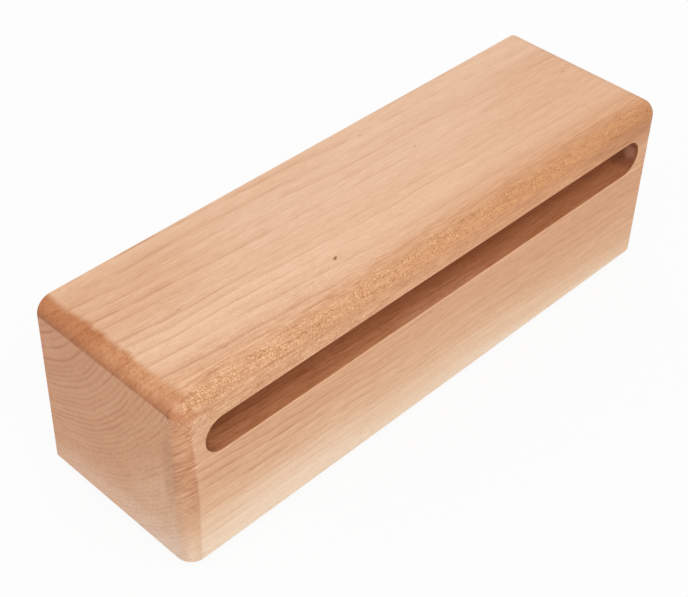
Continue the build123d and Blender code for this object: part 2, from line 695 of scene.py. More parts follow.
SANDED_MAPLE = MapleFinish(
    working=Working.SANDED,
    long_grain=(
        (48.0, paint(239, 196, 162)),
        (80.0, paint(240, 195, 160)),
        (95.0, paint(230, 175, 134)),
        (110.0, paint(223, 170, 130)),
        (119.0, paint(229, 181, 143)),
        (124.0, paint(236, 193, 156)),
        (128.0, paint(243, 207, 173)),
        (134.0, paint(247, 220, 192)),
    ),
    end_grain=(
        (60.0, paint(202, 147, 111)),
        (98.0, paint(205, 152, 114)),
        (116.0, paint(213, 169, 135)),
        (130.0, paint(221, 187, 158)),
    ),
    end_turn=(0.6, 0.95),
    burnished=(
        (60.0, paint(211, 148, 102)),
        (88.0, paint(225, 166, 121)),
        (98.0, paint(216, 155, 112)),
        (115.0, paint(213, 159, 119)),
        (125.0, paint(221, 173, 135)),
        (132.0, paint(229, 188, 153)),
    ),
    late_wood=(0.74, 0.57, 0.47, 1.0),
    ray_shadow=(0.62, 0.46, 0.36, 1.0),
    ray_sheen=(1.16, 1.27, 1.23, 1.0),
    streak_contrast=0.07,
    year_contrast=0.05,
    fibre_contrast=0.32,
    dash_share=0.19,
    spoke_share=0.17,
    roughness=(0.45, 0.57),
    bump=0.25,
)

# The slot's finish: darker and redder than the sanded wood, partly for the cut surface and partly as painted
# shade inside the slot. Its end grain is darker still, mostly as painted shade on the slot's end walls.
ROUTED_SHADED_MAPLE = MapleFinish(
    working=Working.ROUTED,
    long_grain=(
        (60.0, paint(206, 142, 100)),
        (100.0, paint(204, 138, 94)),
        (134.0, paint(210, 150, 108)),
    ),
    end_grain=(
        (60.0, paint(160, 102, 70)),
        (134.0, paint(168, 110, 76)),
    ),
    end_turn=(0.1, 0.8),
    late_wood=(0.74, 0.60, 0.52, 1.0),
    ray_shadow=(0.78, 0.64, 0.54, 1.0),
    ray_sheen=(1.08, 1.10, 1.10, 1.0),
    streak_contrast=0.25,
    year_contrast=0.08,
    fibre_contrast=0.6,
    dash_share=0.4,
    spoke_share=0.3,
    roughness=(0.55, 0.67),
    bump=0.35,
)

# Dark pips in the wood; the one at the front end of the top roundover's foot is a painted shadow.
PIP_AND_SHADOW = (0.32, 0.18, 0.10, 1.0)
PALE = (1.06, 1.08, 1.10, 1.0)
WARM = (0.95, 0.89, 0.84, 1.0)
AMBER = (0.87, 0.75, 0.61, 1.0)
LIGHTENING = (1.22, 1.45, 1.80, 1.0)
# Lightens and cools. Mostly painted light: bounce from the floor low on the front and the left end, a
# highlight on the left ball corner and light at the slot's mouth.
TAN = (0.93, 0.85, 0.78, 1.0)
LIP_HIGHLIGHT = (1.15, 1.20, 1.25, 1.0)
# Partly a scorch, partly painted shade, at the foot of the top's roundover.
SCORCH_AND_SHADE = (0.72, 0.60, 0.48, 1.0)
PAINTED_GLINT = (1.60, 2.20, 3.00, 1.0)
# Darkens and reddens. In the slot it is painted shade.
DARKENING = (0.86, 0.79, 0.73, 1.0)
RUDDY = (0.82, 0.76, 0.70, 1.0)


@dataclass
class Grain:
    """Sockets that say where each place on the surface is and what the wood is like there.

    Those named past an edge say how far beyond the start of its roundover the place lies. All distances
    are in millimetres.
    """

    place: Socket
    x: Socket
    y: Socket
    z: Socket
    past_end: Socket
    past_front: Socket
    past_top: Socket
    radius: Socket
    quarter_sawn: Socket
    strength: Socket
    rings: Outputs
    fibre: Outputs
    rays: Outputs
    ends: Socket
    burnish: Value = 0.0


class MaplePainter:
    """Paints one maple finish. All of them share one figure that runs right through the block."""

    def __init__(
        self, finish: MapleFinish, effects: SharedEffects, figure: LogFigure, wear: EdgeWear,
        edge_round: float,
    ) -> None:
        """Starts the material and works out the wood's figure in it.

        Args:
            finish: Colours and surface of the finish.
            effects: The shader groups.
            figure: How the block lay in its log.
            wear: How its edges were worn.
            edge_round: Radius of the block's roundovers, in metres.
        """
        self.finish = finish
        self.figure = figure
        self.wear = wear
        low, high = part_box(WOOD)
        self.low = low / MM
        self.high = high / MM
        self.round = edge_round / MM
        self.sanded = finish.working is Working.SANDED
        self.material, self.sketch = NodeSketch.material(finish.working.value)
        self.grain = self._grain(effects)
        if self.sanded:
            self.grain.burnish = self._burnish()

    def painted(self) -> bpy.types.Material:
        """Lays on every coat in order.

        Returns:
            The finished material.
        """
        colour = self._ringed(self._ground())
        if self.sanded:
            colour = self._scorched_and_shaded(self._flecked(self._banded(colour)))
            colour = self._marked(colour, self._outer_marks())
        else:
            colour = self._marked(self._flecked(colour), self._slot_marks())
        self._surface(colour)
        return self.material

    def _outer_marks(self) -> tuple[Mark, ...]:
        """Lists the marks on the outside: on the top, the front, the left end and the corners.

        Returns:
            The marks, in the order that they are laid on.
        """
        top = self.high.z
        left, front, bottom = self.low
        return (
            Mark((-32.3, -14.2, top), (0.9, 0.6, 0.8), 0.95, PIP_AND_SHADOW),
            Mark((-31.6, -13.75, top), (0.8, 0.55, 0.8), 0.85, PIP_AND_SHADOW),
            Mark((17.5, 24.0, top), (1.0, 0.4, 0.8), 0.45, PIP_AND_SHADOW),
            Mark((26.0, 8.0, top), (0.8, 0.4, 0.8), 0.4, PIP_AND_SHADOW),
            Mark((95.0, 3.0, top), (1.6, 0.4, 0.8), 0.4, PIP_AND_SHADOW),
            Mark((-79.0, 0.0, top), (1.2, 0.4, 0.8), 0.4, PIP_AND_SHADOW),
            Mark((-80.0, -20.0, top), (1.4, 0.4, 0.8), 0.4, PIP_AND_SHADOW),
            Mark((35.0, -14.0, top), (0.8, 0.35, 0.8), 0.3, PIP_AND_SHADOW),
            Mark((-62.0, -9.0, top), (55.0, 8.0, 4.0), 0.4, PALE),
            Mark((-75.0, -20.0, top), (75.0, 10.0, 4.0), 0.16, LIGHTENING),
            Mark((-97.0, 17.0, top), (64.0, 23.0, 5.0), 1.0, TAN),
            Mark((-30.0, 27.0, top), (55.0, 9.0, 4.0), 0.45, TAN),
            Mark((88.0, 8.0, top), (28.0, 18.0, 4.0), 0.35, TAN),
            Mark((58.0, -18.0, top), (85.0, 9.0, 4.0), 0.42, TAN),
            Mark((100.0, 0.0, top), (75.0, 30.0, 5.0), 0.6, WARM),
            Mark((110.0, front, 24.0), (115.0, 6.0, 28.0), 0.85, WARM),
            # Painted bounce light low on the front, partly paler sapwood too.
            Mark((-62.0, front, 13.0), (40.0, 4.0, 9.0), 0.18, LIGHTENING),
            Mark((-100.0, front, 52.0), (7.0, 4.0, 14.0), 0.2, LIGHTENING),
            Mark((self.high.x + 10, front - 1, top - 3), (210.0, 17.0, 12.0), 1.0, AMBER),
            Mark((112.0, front - 0.7, 57.0), (65.0, 6.5, 9.5), 1.0, RUDDY),
            # Darkens the left end beside the front-left roundover, and the roundover's foot.
            Mark((left, front + 6.3, 38.0), (4.0, 3.6, 22.0), 0.85, DARKENING),
            # Painted bounce light from the floor, low on the left end and its front corner, partly paler
            # sapwood too.
            Mark((left, 4.0, bottom), (6.0, 50.0, 14.0), 0.38, LIGHTENING),
            Mark((left, 22.0, 16.0), (5.0, 20.0, 18.0), 0.14, LIGHTENING),
            Mark((left, front + 4.0, 9.0), (2.0, 5.0, 13.0), 0.1, LIGHTENING),
            # Painted shadow of the small notch where the dark line at the foot of the top's roundover ends.
            Mark((left, front + self.round, top - self.round), (0.8, 0.5, 0.9), 0.7, PIP_AND_SHADOW),
            Mark((left + 1.8, front + 1.8, bottom + 1.6), (0.6, 0.6, 0.5), 0.6, PIP_AND_SHADOW),
            # Painted highlight on the left ball corner.
            Mark((left + 2.2, front + 3.0, top - 1.8), (2.8, 2.8, 2.2), 1.0, LIGHTENING),
            # Painted highlights along the slot's lower and upper lips.
            Mark((0.0, front, self.wear.lip_bottom), (400.0, 0.9, 0.8), 1.0, LIP_HIGHLIGHT),
            Mark((0.0, front, self.wear.lip_top), (400.0, 0.9, 0.7), 0.5, LIP_HIGHLIGHT),
        )

    @staticmethod
    def _slot_marks() -> tuple[Mark, ...]:
        """Lists the marks inside the slot, which are painted light and shade: a painted glint on the right
        end wall, painted light at the mouth and painted shade deeper in.

        Returns:
            The marks, in the order that they are laid on.
        """
        return (
            # Painted glint on the slot's right end wall.
            Mark((95.4, -27.6, 47.0), (2.0, 3.4, 3.6), 1.0, PAINTED_GLINT),
            # Painted light on the slot's floor at its mouth.
            Mark((5.0, -29.0, 41.0), (40.0, 6.0, 3.0), 0.35, LIGHTENING),
            # Painted shade on the slot's floor deeper in.
            Mark((30.0, -22.5, 41.0), (110.0, 6.0, 5.0), 0.45, DARKENING),
        )

    def _grain(self, effects: SharedEffects) -> Grain:
        """Works out the wood's figure at each place.

        Args:
            effects: The shader groups.

        Returns:
            The sockets that the coats of the finish read.
        """
        sketch, figure = self.sketch, self.figure
        coordinates = sketch.node("ShaderNodeTexCoord").outputs
        axes = sketch.use(effects.log_axes, {
            "Position": coordinates["Object"], "Normal": coordinates["Normal"], "Pith Y": figure.pith_y,
            "Pith Z": figure.pith_z, "Lean": figure.lean, "Wander": figure.wander, "Ripple": figure.ripple,
            "Ray Tilt": figure.ray_tilt,
        })
        log_place = {name: axes[name] for name in LOG_PLACE}
        rings = sketch.use(effects.growth_rings, {
            **log_place, "Density": figure.ring_density, "Narrowing": figure.ring_narrowing,
            "Unevenness": figure.ring_unevenness,
        })
        x, y, z = sketch.split(axes["Place"])
        end_on, _, _ = sketch.split(coordinates["Normal"])
        by_radius = sketch.levels(axes["Radius"], figure.strength)
        return Grain(
            place=axes["Place"],
            x=x,
            y=y,
            z=z,
            past_end=sketch.minus(sketch.math("ABSOLUTE", x), self.high.x - self.round),
            past_front=sketch.minus(self.low.y + self.round, y),
            past_top=sketch.minus(z, self.high.z - self.round),
            radius=axes["Radius"],
            quarter_sawn=axes["Quarter Sawn"],
            strength=sketch.product(by_radius, sketch.ramp(x, *figure.strength_fade)),
            rings=rings,
            fibre=sketch.use(effects.fibre, log_place),
            rays=sketch.use(effects.rays, log_place),
            ends=sketch.ramp(sketch.math("ABSOLUTE", end_on), *self.finish.end_turn),
        )

    def _burnish(self) -> Socket:
        """Finds the roundovers beside the ends, which the cutter and the sanding burnish.

        Returns:
            How burnished each place is, from 0 to 1.
        """
        sketch, grain, wear = self.sketch, self.grain, self.wear
        along_radius = sketch.vector(0.0, sketch.product(grain.radius, wear.lobe_rate), wear.lobe_seed)
        frayed = sketch.plus(
            grain.past_end,
            sketch.swing(sketch.noise(along_radius), wear.lobe_fray),
            sketch.swing(grain.fibre["Fine"], wear.fibre_fray),
            sketch.ramp(grain.y, *wear.back_retreat),
        )
        over_top = sketch.product(
            sketch.ramp(frayed, *wear.top_start),
            sketch.ramp(grain.past_top, *wear.top_foot),
            sketch.ramp(sketch.minus(grain.y, self.high.y), *wear.back_edge),
        )
        inner_line = sketch.ramp(grain.z, *wear.inner_line_height)
        over_front = sketch.product(
            sketch.ramp(sketch.minus(grain.past_end, inner_line), *wear.inner_line),
            sketch.ramp(grain.past_front, *wear.front_start),
            sketch.ramp(grain.past_end, *wear.front_end),
            sketch.ramp(grain.z, *wear.front_height),
        )
        side = sketch.ramp(grain.x, *wear.sides, 1.0, wear.far_share)
        return sketch.product(sketch.math("MAXIMUM", over_top, over_front), side)

    def _ground(self) -> Socket:
        """Colours the wood: heart to sap, streaks, fibres and years, and strokes round the front corners.

        Returns:
            The wood's colour before rings, rays and marks.
        """
        sketch, grain, finish = self.sketch, self.grain, self.finish
        radius = sketch.plus(grain.radius, sketch.swing(grain.fibre["Broad"], self.figure.tone_wander))
        colour = sketch.tones(radius, finish.long_grain)
        colour = sketch.mix(grain.ends, colour, sketch.tones(radius, finish.end_grain))
        if finish.burnished:
            colour = sketch.mix(grain.burnish, colour, sketch.tones(radius, finish.burnished))
        level = sketch.product(
            sketch.vary(grain.fibre["Broad"], finish.streak_contrast),
            sketch.vary(grain.rings["Tone"], finish.year_contrast),
            sketch.vary(grain.fibre["Fine"], sketch.product(grain.strength, self._fibre_contrast())),
            self._corner_strokes(),
        )
        return sketch.warmed(colour, level)

    def _fibre_contrast(self) -> Socket:
        """Makes the fibres bolder beside the struck edge.

        Returns:
            The contrast of the fibres.
        """
        sketch, grain, wear = self.sketch, self.grain, self.wear
        struck_edge = sketch.product(
            sketch.ramp(grain.past_front, *wear.struck_front),
            sketch.ramp(grain.past_top, *wear.struck_top),
            sketch.eased(grain.quarter_sawn, 1.0, wear.struck_flecks),
        )
        usual = self.finish.fibre_contrast
        return sketch.eased(struck_edge, usual, wear.struck_fibres * usual)

    def _corner_strokes(self) -> Socket:
        """Draws strokes that climb round the roundovers between the front and the ends.

        Returns:
            A level about 1.
        """
        sketch, grain, wear = self.sketch, self.grain, self.wear
        climb = sketch.plus(grain.z, sketch.product(grain.y, wear.stroke_climb))
        along_strokes = sketch.stretched((grain.x, climb, grain.y), wear.stroke_rates)
        front_corner = sketch.product(
            sketch.ramp(grain.past_end, *wear.stroke_edge),
            sketch.ramp(grain.past_front, *wear.stroke_edge),
            sketch.ramp(grain.z, *wear.stroke_base_height),
            sketch.ramp(grain.z, *wear.stroke_top_height),
        )
        strokes = sketch.noise(along_strokes, *wear.stroke_detail)
        return sketch.vary(strokes, sketch.product(front_corner, wear.stroke_contrast))

    def _ringed(self, colour: Socket) -> Socket:
        """Adds the growth rings: broken lines on faces, closer and evener ones on ends and burnished wood.

        Args:
            colour: The colour so far.

        Returns:
            The colour with rings.
        """
        sketch, grain, figure = self.sketch, self.grain, self.figure
        fade = sketch.ramp(grain.x, *figure.ring_fade)
        on_faces = sketch.product(grain.rings["Line"], grain.strength, fade)
        on_ends = sketch.ramp(grain.radius, *figure.end_rings)
        worked_share = sketch.eased(grain.burnish, on_ends, figure.burnished_rings)
        on_worked = sketch.product(grain.rings["Even Line"], worked_share)
        worked = sketch.math("MAXIMUM", grain.ends, grain.burnish)
        return sketch.tint(sketch.eased(worked, on_faces, on_worked), colour, self.finish.late_wood)

    def _banded(self, colour: Socket) -> Socket:
        """Darkens burnished wood unevenly, by its fibres, its years and soft blotches.

        Args:
            colour: The colour so far.

        Returns:
            The colour with bands.
        """
        sketch, grain, wear = self.sketch, self.grain, self.wear
        blotches = sketch.noise(sketch.scaled(grain.place, wear.blotch_rate), *wear.blotch_detail)
        bands = sketch.plus(
            sketch.ramp(grain.fibre["Fine"], *wear.fibre_bands),
            sketch.ramp(grain.rings["Tone"], *wear.year_bands),
            sketch.ramp(blotches, *wear.blotches),
        )
        return sketch.tint(sketch.product(grain.burnish, bands), colour, self.finish.late_wood)

    def _flecked(self, colour: Socket) -> Socket:
        """Adds the rays: dashes everywhere, spokes on the ends, and bright plates where a face lies along.

        Args:
            colour: The colour so far.

        Returns:
            The colour with rays.
        """
        sketch, grain, figure, finish = self.sketch, self.grain, self.figure, self.finish
        rays = grain.rays
        flat_sawn = sketch.minus(1.0, grain.quarter_sawn)
        inner = sketch.ramp(grain.radius, *figure.inner_dashes)
        outline_fade = sketch.ramp(grain.x, *figure.outline_fade)
        plate_fade = sketch.ramp(grain.x, *figure.plate_fade)
        for share, tint in (
            (sketch.product(rays["Dashes"], finish.dash_share, inner, flat_sawn), finish.ray_shadow),
            (sketch.product(rays["Spokes"], finish.spoke_share, grain.ends), finish.ray_shadow),
            (sketch.product(rays["Outlines"], grain.quarter_sawn, outline_fade), finish.ray_shadow),
            (sketch.product(rays["Plates"], grain.quarter_sawn, plate_fade), finish.ray_sheen),
        ):
            colour = sketch.tint(share, colour, tint)
        return colour

    def _scorched_and_shaded(self, colour: Socket) -> Socket:
        """Darkens the foot of the top's roundover, down to the sharp line where it meets an end: partly a
        scorch, partly painted shade that deepens as the roundover turns down to the end, with the painted
        shadow of the small step there, which the mesh doesn't have.

        Args:
            colour: The colour so far.

        Returns:
            The colour with the scorch.
        """
        sketch, grain, wear = self.sketch, self.grain, self.wear
        share = sketch.product(
            sketch.ramp(grain.past_top, *wear.scorch_shade_rise),
            sketch.ramp(grain.past_top, *wear.top_foot),
            sketch.ramp(grain.past_front, *wear.scorch_front),
            grain.burnish,
        )
        return sketch.tint(share, colour, SCORCH_AND_SHADE)

    def _marked(self, colour: Socket, marks: Sequence[Mark]) -> Socket:
        """Adds the small marks: natural ones, and patches of painted light and shade.

        Args:
            colour: The colour so far.
            marks: The marks to add.

        Returns:
            The colour with its marks.
        """
        sketch = self.sketch
        vectors = partial(sketch.wired, "ShaderNodeVectorMath")
        for mark in marks:
            offset = vectors({0: self.grain.place, 1: mark.place}, operation="SUBTRACT")[0]
            fitted = vectors({0: offset, 1: mark.reach}, operation="DIVIDE")[0]
            far = vectors({0: fitted}, operation="LENGTH")["Value"]
            colour = sketch.tint(sketch.ramp(far, *mark.fading, 0.0, mark.share), colour, mark.tint)
        return colour

    def _surface(self, colour: Socket) -> None:
        """Joins colour, sheen and fine relief into the shader.

        Args:
            colour: The finished colour.
        """
        sketch, grain, finish = self.sketch, self.grain, self.finish
        fine = grain.fibre["Fine"]
        height = sketch.minus(fine, sketch.product(grain.rings["Line"], finish.ring_groove))
        gloss = sketch.plus(
            sketch.product(grain.burnish, finish.burnish_gloss),
            sketch.product(grain.rays["Plates"], grain.quarter_sawn, finish.fleck_gloss),
        )
        sketch.surface({
            "Base Color": colour,
            "Roughness": sketch.minus(sketch.ramp(fine, *MOST_NOISE, *finish.roughness), gloss),
            "Normal": sketch.relief(finish.bump, finish.relief_depth, height),
            "Specular IOR Level": finish.specular,
        })


def placed_object(name: str, data: bpy.types.ID) -> bpy.types.Object:
    """Makes an object of a mesh, a lamp or a camera, and links it into the scene.

    Args:
        name: The object's name.
        data: What it holds.

    Returns:
        The new object, at the origin.
    """
    made = bpy.data.objects.new(name, data)
    bpy.context.scene.collection.objects.link(made)
    return made


def settled_mesh(piece: bpy.types.Object) -> bpy.types.Mesh:
    """Turns an object and its modifiers into a plain mesh, and removes the modifiers.

    Args:
        piece: The object with its modifiers still live.

    Returns:
        The resulting mesh, under the object's name.
    """
    bpy.context.view_layer.update()
    graph = bpy.context.evaluated_depsgraph_get()
    mesh = bpy.data.meshes.new_from_object(piece.evaluated_get(graph), depsgraph=graph)
    mesh.name = piece.name
    piece.modifiers.clear()
    return mesh


def welded_shape(mesh: bpy.types.Mesh) -> bmesh.types.BMesh:
    """Opens a mesh, merges its doubles and dissolves its slivers.

    Args:
        mesh: The mesh, which stays as it is.

    Returns:
        The shape, open for editing.
    """
    shape = bmesh.new()
    shape.from_mesh(mesh)
    bmesh.ops.remove_doubles(shape, verts=shape.verts, dist=WELD)
    bmesh.ops.dissolve_degenerate(shape, edges=shape.edges, dist=WELD)
    return shape


def write_creased(shape: bmesh.types.BMesh, mesh: bpy.types.Mesh) -> None:
    """Shades a shape smooth, apart from its sharp edges, and closes it into a mesh.

    Args:
        shape: The shape, which is freed.
        mesh: The mesh that it goes into.
    """
    for face in shape.faces:
        face.smooth = True
    for edge in shape.edges:
        edge.smooth = len(edge.link_faces) == 2 and edge.calc_face_angle() < CREASE
    shape.to_mesh(mesh)
    shape.free()


def handed_over(piece: bpy.types.Object, node: str) -> bpy.types.Object:
    """Lets a finished piece stand in for its node, on the part's one body.

    Args:
        piece: The finished piece.
        node: The node that it replaces.

    Returns:
        The same piece.
    """
    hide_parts(node)
    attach(piece, BODY)
    return piece


@dataclass
class MapleBody:
    """The solid maple block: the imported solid's own shape with worked edges and two finishes."""

    name: str = "maple_body"
    slot: str = "maple"
    opening: str = "resonance_slot"
    edge_round: float = 5.3 * MM
    lip_ease: float = 0.2 * MM
    recess_reach: float = 5.0 * MM
    skin: float = 0.2 * MM
    flat_weight: int = 100

    def build(self, sanded: bpy.types.Material, routed: bpy.types.Material) -> bpy.types.Object:
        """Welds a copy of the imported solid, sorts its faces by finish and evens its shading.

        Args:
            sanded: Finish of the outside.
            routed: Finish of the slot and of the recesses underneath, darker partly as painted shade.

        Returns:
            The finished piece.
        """
        cut_zones = self._cut_zones()
        shape = welded_shape(frame["nodes"][WOOD].data)
        for face in shape.faces:
            middle = face.calc_center_median()
            face.material_index = int(any(self._inside(middle, zone) for zone in cut_zones))
        mesh = bpy.data.meshes.new(self.name)
        write_creased(shape, mesh)
        mesh.materials.append(sanded)
        mesh.materials.append(routed)
        piece = placed_object(self.name, mesh)
        even = piece.modifiers.new("even_shading", "WEIGHTED_NORMAL")
        even.keep_sharp = True
        even.weight = self.flat_weight
        piece.data = settled_mesh(piece)
        return handed_over(piece, WOOD)

    def _cut_zones(self) -> list[tuple[Vector, Vector]]:
        """Finds the boxes that hold the slot and the recesses underneath.

        Returns:
            The lowest and highest corner of each box, clear of the block's outside.
        """
        low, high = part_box(WOOD)
        opening = next(o for o in frame["record"]["physics"]["openings"] if o["name"] == self.opening)
        floor, roof = (corner[2] for corner in opening["box_m"])
        slot = (
            Vector((low.x + self.skin, low.y + self.lip_ease, floor - self.skin)),
            Vector((high.x - self.skin, high.y - self.edge_round, roof + self.skin)),
        )
        screw_low, screw_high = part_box(ScrewSet.node)
        wide = Vector((self.recess_reach, self.recess_reach, 0))
        skin = Vector((self.skin, self.skin, self.skin))
        under = (
            Vector((*(screw_low - wide).xy, low.z)) + skin,
            Vector((*(screw_high + wide).xy, screw_high.z)) + skin,
        )
        return [slot, under]

    @staticmethod
    def _inside(place: Vector, zone: tuple[Vector, Vector]) -> bool:
        """Tells whether a place lies in a box."""
        return all(low <= value <= high for low, value, high in zip(zone[0], place, zone[1]))


@dataclass(frozen=True)
class RubberFinish:
    """Black moulded rubber: its colours, the dust on its tread, and its skin, with sizes in metres."""

    name: str = "moulded_rubber"
    body: Colour = paint(40, 39, 38)
    bloom: Colour = paint(60, 58, 55)
    bloom_patches: Fade = (0.35, 0.7)
    dust: Colour = paint(112, 104, 94)
    dust_patches: Fade = (0.3, 0.65)
    dust_height: float = 0.4 * MM
    dust_share: float = 0.6
    patch_size: float = 3.0 * MM
    grain_size: float = 0.25 * MM
    roughness: Pair = (0.68, 0.84)
    bump: float = 0.5
    relief_depth: float = 0.05 * MM
    specular: float = 0.4

    def material(self, effects: SharedEffects) -> bpy.types.Material:
        """Builds the rubber.

        Args:
            effects: The shader groups.

        Returns:
            The new material.
        """
        material, sketch = NodeSketch.material(self.name)
        position = sketch.node("ShaderNodeTexCoord").outputs["Object"]
        skin = sketch.use(effects.mottle, {
            "Position": position, "Patch Size": self.patch_size, "Grain Size": self.grain_size,
        })
        patches = skin["Patches"]
        _, _, z = sketch.split(position)
        colour = sketch.mix(sketch.ramp(patches, *self.bloom_patches), self.body, self.bloom)
        on_tread = sketch.ramp(z, self.dust_height, 0.0)
        dusty = sketch.product(on_tread, sketch.ramp(patches, *self.dust_patches), self.dust_share)
        sketch.surface({
            "Base Color": sketch.mix(dusty, colour, self.dust),
            "Roughness": sketch.ramp(patches, *MOST_NOISE, *self.roughness),
            "Normal": sketch.relief(self.bump, self.relief_depth, skin["Grains"]),
            "Specular IOR Level": self.specular,
        })
        return material


@dataclass(frozen=True)
class ZincFinish:
    """Zinc-plated steel: its colours and its skin, with sizes in metres."""

    name: str
    bright: Colour
    dull: Colour
    roughness: float
    dull_patches: Fade = (0.3, 0.7)
    patch_size: float = 1.6 * MM
    patch_roughness: float = 0.35
    grain_size: float = 0.12 * MM
    grain_roughness: float = 0.12
    bump: float = 0.25
    relief_depth: float = 0.02 * MM

    def material(self, effects: SharedEffects) -> bpy.types.Material:
        """Builds the plated steel.

        Args:
            effects: The shader groups.

        Returns:
            The new material.
        """
        material, sketch = NodeSketch.material(self.name)
        skin = sketch.use(effects.mottle, {
            "Position": sketch.node("ShaderNodeTexCoord").outputs["Object"],
            "Patch Size": self.patch_size, "Grain Size": self.grain_size,
        })
        cloudy = sketch.plus(
            sketch.swing(skin["Patches"], self.patch_roughness),
            sketch.swing(skin["Grains"], self.grain_roughness),
        )
        dull = sketch.ramp(skin["Patches"], *self.dull_patches)
        sketch.surface({
            "Base Color": sketch.mix(dull, self.bright, self.dull),
            "Metallic": 1.0,
            "Roughness": sketch.plus(cloudy, self.roughness),
            "Normal": sketch.relief(self.bump, self.relief_depth, skin["Grains"]),
        })
        return material


WASHER_ZINC = ZincFinish("washer_zinc", paint(214, 215, 213), paint(176, 178, 178), 0.36)
SCREW_ZINC = ZincFinish("screw_zinc", paint(206, 205, 200), paint(164, 164, 162), 0.3)


@dataclass(frozen=True)
class Corner:
    """One corner of an outline that is turned about Z: its radius, its height and how far it is rounded."""

    radius: Value
    height: Value
    rounding: Value = 0.0


class TreeSketch(NodeSketch):
    """Adds the nodes of a geometry tree that puts one kind of hardware at every point."""

    spindle: ClassVar[float] = 0.001 * MM
    axis_weld: ClassVar[float] = 5 * spindle
    round_steps: ClassVar[int] = 4

    @classmethod
    def hardware(cls, name: str, sizes: Sequence[str]) -> "TreeSketch":
        """Starts a tree with named sizes in metres, a number of sides and a material."""
        inputs = {"Geometry": "Geometry", **numbers(*sizes), "Sides": "Int", "Material": "Material"}
        return cls.group(name, TreeKind.GEOMETRY, inputs, {"Geometry": "Geometry"})

    def by_number(self, kind: str, values: Sequence[Value]) -> Socket:
        """Picks a value for each point by its number.

        Args:
            kind: The kind of value, such as FLOAT or VECTOR.
            values: One value for each point.

        Returns:
            The value of the point in hand.
        """
        pick = self.node("GeometryNodeIndexSwitch", data_type=kind)
        while len(pick.index_switch_items) < len(values):
            pick.index_switch_items.new()
        number = self.node("GeometryNodeInputIndex").outputs[0]
        for socket, value in zip(pick.inputs, (number, *values)):
            self.feed(socket, value)
        return pick.outputs[0]

    def turned(self, outline: Sequence[Corner], closed: bool) -> Socket:
        """Turns an outline about Z.

        Args:
            outline: Its corners in order.
            closed: Whether the last corner joins the first, as on a ring; otherwise both lie on the axis.

        Returns:
            The turned mesh.
        """
        line = self.wired("GeometryNodeMeshLine", {"Count": len(outline)})["Mesh"]
        places = self.by_number("VECTOR", [
            self.vector(corner.radius, self.product(corner.height, -1.0), 0.0) for corner in outline
        ])
        shaped = self.wired("GeometryNodeSetPosition", {"Geometry": line, "Position": places})["Geometry"]
        curve = self.wired("GeometryNodeMeshToCurve", {"Mesh": shaped})["Curve"]
        looped = self.wired("GeometryNodeSetSplineCyclic", {"Geometry": curve, "Cyclic": closed})["Geometry"]
        soft = self.wired("GeometryNodeFilletCurve", {
            "Curve": looped, "Count": self.round_steps, "Limit Radius": True,
            "Radius": self.by_number("FLOAT", [corner.rounding for corner in outline]),
        }, mode="POLY")["Curve"]
        path = self.wired("GeometryNodeCurvePrimitiveCircle", {
            "Resolution": self.source["Sides"], "Radius": self.spindle,
        })["Curve"]
        swept = self.wired("GeometryNodeCurveToMesh", {"Curve": path, "Profile Curve": soft})["Mesh"]
        merged = self.wired("GeometryNodeMergeByDistance", {"Geometry": swept, "Distance": self.axis_weld})
        return merged["Geometry"]

    def placed(self, piece: Socket) -> bpy.types.NodeTree:
        """Ends the tree with a copy of the piece at every point.

        Args:
            piece: The mesh to copy.

        Returns:
            The finished tree.
        """
        copies = self.wired("GeometryNodeInstanceOnPoints", {
            "Points": self.source["Geometry"], "Instance": piece,
        })
        real = self.wired("GeometryNodeRealizeInstances", {"Geometry": copies["Instances"]})
        dressed = self.wired("GeometryNodeSetMaterial", {
            "Geometry": real["Geometry"], "Material": self.source["Material"],
        })
        self.feed(self.sink["Geometry"], dressed["Geometry"])
        return self.tree


class Foot(Enum):
    """The feet, by the node that each one is."""

    FRONT_LEFT = "rubber_foot_front_left"
    FRONT_RIGHT = "rubber_foot_front_right"
    BACK_LEFT = "rubber_foot_back_left"
    BACK_RIGHT = "rubber_foot_back_right"

    def centre(self) -> Vector:
        """Finds the foot's place on the table."""
        low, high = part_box(self.value)
        return Vector((*((low + high) / 2).xy, 0.0))


@dataclass
class Hardware:
    """What the small pieces have in common: a slot, a number of sides, and lengths for their trees."""

    slot: str
    sides: int

    def lengths(self) -> dict[str, float]:
        """Lists the piece's own lengths under the names of its tree's inputs."""
        names = [field.name for field in fields(self) if field.type is float]
        return {name.replace("_", " ").title(): getattr(self, name) for name in names}

    def grown(
        self, name: str, tree: bpy.types.NodeTree, sizes: dict[str, float], places: Sequence[Vector],
        material: bpy.types.Material,
    ) -> bpy.types.Object:
        """Runs a tree at some places and keeps the result as a plain mesh.

        Args:
            name: The piece's name.
            tree: The geometry tree.
            sizes: Its sizes, by name.
            places: Where the copies stand.
            material: What they are made of.

        Returns:
            The piece, at the origin, with its modifier removed.
        """
        points = bpy.data.meshes.new(name)
        points.from_pydata([tuple(place) for place in places], [], [])
        piece = placed_object(name, points)
        modifier = piece.modifiers.new("hardware", "NODES")
        modifier.node_group = tree
        inputs = {**sizes, "Sides": self.sides, "Material": material}
        for item in tree.interface.items_tree:
            if item.in_out == "INPUT" and item.name in inputs:
                modifier[item.identifier] = inputs[item.name]
        mesh = settled_mesh(piece)
        shape = welded_shape(mesh)
        bmesh.ops.recalc_face_normals(shape, faces=shape.faces)
        write_creased(shape, mesh)
        piece.data = mesh
        return piece


